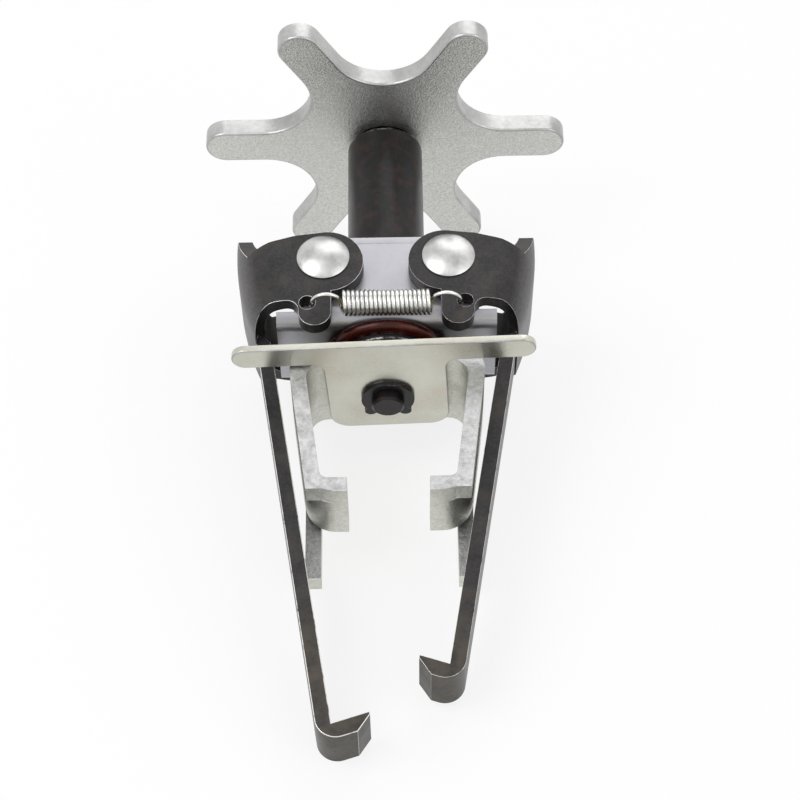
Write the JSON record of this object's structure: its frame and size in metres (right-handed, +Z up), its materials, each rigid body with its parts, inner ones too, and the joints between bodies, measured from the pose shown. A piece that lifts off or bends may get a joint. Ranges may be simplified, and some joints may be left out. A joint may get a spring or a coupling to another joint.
{
  "type": "valve spring compressor",
  "caption": "Hand tool that squeezes an engine valve spring between hooked swinging jaws and a forked press foot, driven by a star-shaped hand nut on a screw.",
  "frame": {"origin": "on the surface the tool lies on, at the centre of its footprint", "axes": "+Y along the tool towards the star handle, +Z up from the surface the tool lies on its back on, +X across the jaws"},
  "size_m": [0.076, 0.1468, 0.0665],
  "materials": {
    "zinc_star": "zinc plated, grainy",
    "black_oxide": "black oxide",
    "zinc_sheet": "smooth zinc plate",
    "red_brown_ring": "oiled",
    "black_jaw": "black oxide, worn edges",
    "bright_rivet": "satin",
    "spring_wire": "bright",
    "zinc_fork": "zinc plated, rough",
    "satin_plate": "satin"
  },
  "bodies": {
    "frame": {"carrier_bracket": "zinc_sheet", "top_guide_plate": "zinc_sheet", "thrust_ring": "red_brown_ring", "left_pivot_rivet": "bright_rivet", "right_pivot_rivet": "bright_rivet", "tension_spring": "spring_wire"},
    "hand_nut": {"star_handle": "zinc_star", "sleeve_nut": "black_oxide"},
    "press": {"press_screw": "black_oxide", "press_fork": "zinc_fork", "retaining_clip": "black_oxide"},
    "wing": {"wing_plate": "satin_plate"},
    "left_jaw_body": {"left_jaw": "black_jaw"},
    "right_jaw_body": {"right_jaw": "black_jaw"}
  },
  "joints": [
    {"name": "star_turn", "type": "hinge", "parent": "frame", "child": "hand_nut", "pos_m": [0, 0.06258, 0.03282], "axis": [0, 0.9798, 0.1999], "range_deg": [-270, 720]},
    {"name": "press_slide", "type": "slide", "parent": "frame", "child": "press", "axis": [0, -0.9798, -0.1999], "range_m": [-0.0015, 0.004]},
    {"name": "wing_swivel", "type": "hinge", "parent": "press", "child": "wing", "pos_m": [0, 0.00467, 0.021], "axis": [0, 0.9798, 0.1999], "range_deg": [0, 5.2]},
    {"name": "left_jaw_swing", "type": "hinge", "parent": "frame", "child": "left_jaw_body", "pos_m": [-0.0123, 0.02329, 0.0248], "axis": [0, 0.1999, -0.9798], "range_deg": [0, 20], "stiffness_Nm_per_rad": 0.12, "springref_deg": -20.05, "deforming": ["tension_spring"]},
    {"name": "right_jaw_swing", "type": "hinge", "parent": "frame", "child": "right_jaw_body", "pos_m": [0.0123, 0.02329, 0.0248], "axis": [0, -0.1999, 0.9798], "range_deg": [0, 20], "stiffness_Nm_per_rad": 0.12, "springref_deg": -20.05, "deforming": ["tension_spring"]}
  ],
  "couplings": [
    {"joint": "press_slide", "follows": "star_turn", "m_per_rad": 0.00031831}
  ]
}
